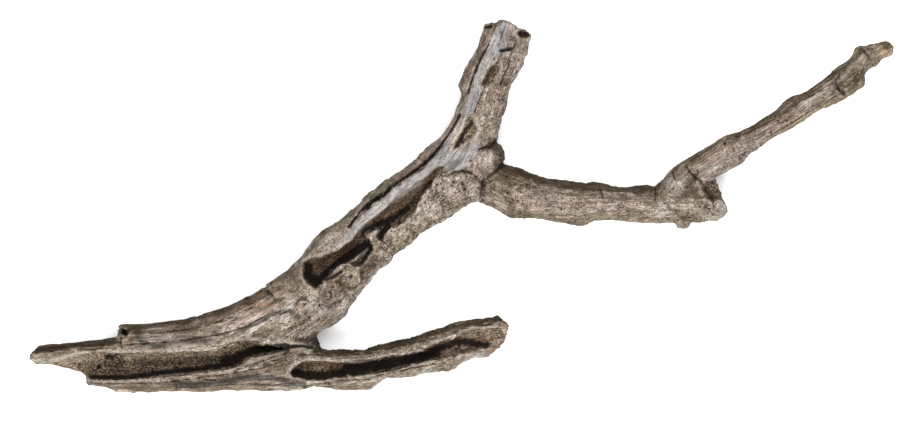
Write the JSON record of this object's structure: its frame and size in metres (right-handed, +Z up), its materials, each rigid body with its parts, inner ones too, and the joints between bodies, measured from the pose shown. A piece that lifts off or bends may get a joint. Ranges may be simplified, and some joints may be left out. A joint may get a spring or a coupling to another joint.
{
  "type": "tree branch",
  "caption": "Weathered dead branch lying flat: a split hollow log, a forking stem with a long rot cavity, a hollow prong and a side limb with a thin twig.",
  "frame": {"origin": "middle of the footprint's rectangle, on the floor that the branch lies on", "axes": "+X along the branch from the splintered end of the hollow log to the tip of the twig, +Y from the log towards the broken end of the stem, +Z up, away from the floor, on the side with the open hollows"},
  "size_m": [0.8628, 0.3732, 0.0822],
  "materials": {
    "weathered_wood": "dry weathered bark and bare wood, matt"
  },
  "bodies": {
    "root": {"branch": "weathered_wood"}
  },
  "joints": []
}
